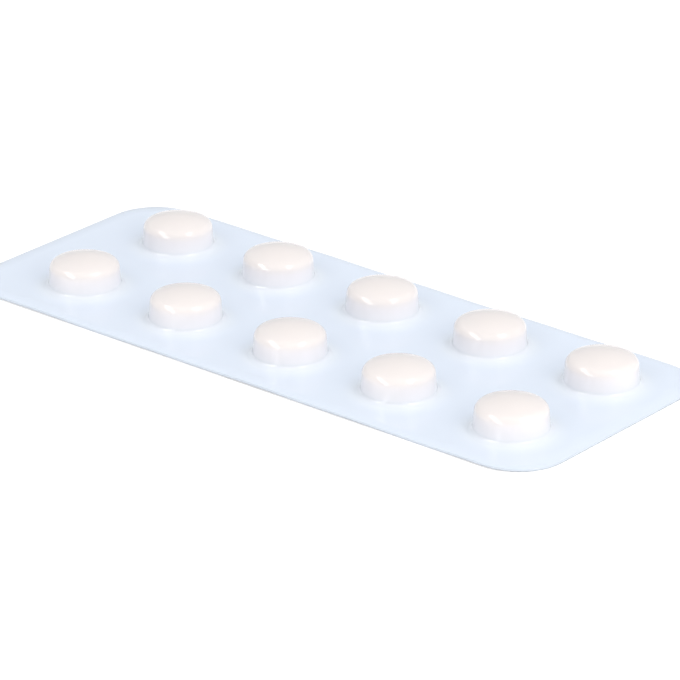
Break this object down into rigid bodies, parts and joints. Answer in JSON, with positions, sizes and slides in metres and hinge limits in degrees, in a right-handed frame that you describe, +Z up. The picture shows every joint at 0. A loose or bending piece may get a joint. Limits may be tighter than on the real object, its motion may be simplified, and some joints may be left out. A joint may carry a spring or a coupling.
{
  "type": "tablet blister pack",
  "caption": "Flat blister card with two rows of domed film pockets, a round tablet in each, and a sealed foil back.",
  "frame": {"origin": "middle of the card's underside, on the surface that it lies on", "axes": "+X along the card towards the end without the bare strip, +Y across the card, +Z up through the pockets"},
  "size_m": [0.0966, 0.039, 0.0046],
  "materials": {
    "formed_film": "gloss, pale blue, see-through",
    "lidding_foil": "satin, lacquered",
    "tablet_coating": "smooth film coating, cream"
  },
  "bodies": {
    "root": {"formed_film": "formed_film", "lidding_foil": "lidding_foil", "tablet_front_1": "tablet_coating", "tablet_front_2": "tablet_coating", "tablet_front_3": "tablet_coating", "tablet_front_4": "tablet_coating", "tablet_front_5": "tablet_coating", "tablet_back_1": "tablet_coating", "tablet_back_2": "tablet_coating", "tablet_back_3": "tablet_coating", "tablet_back_4": "tablet_coating", "tablet_back_5": "tablet_coating"}
  },
  "joints": []
}
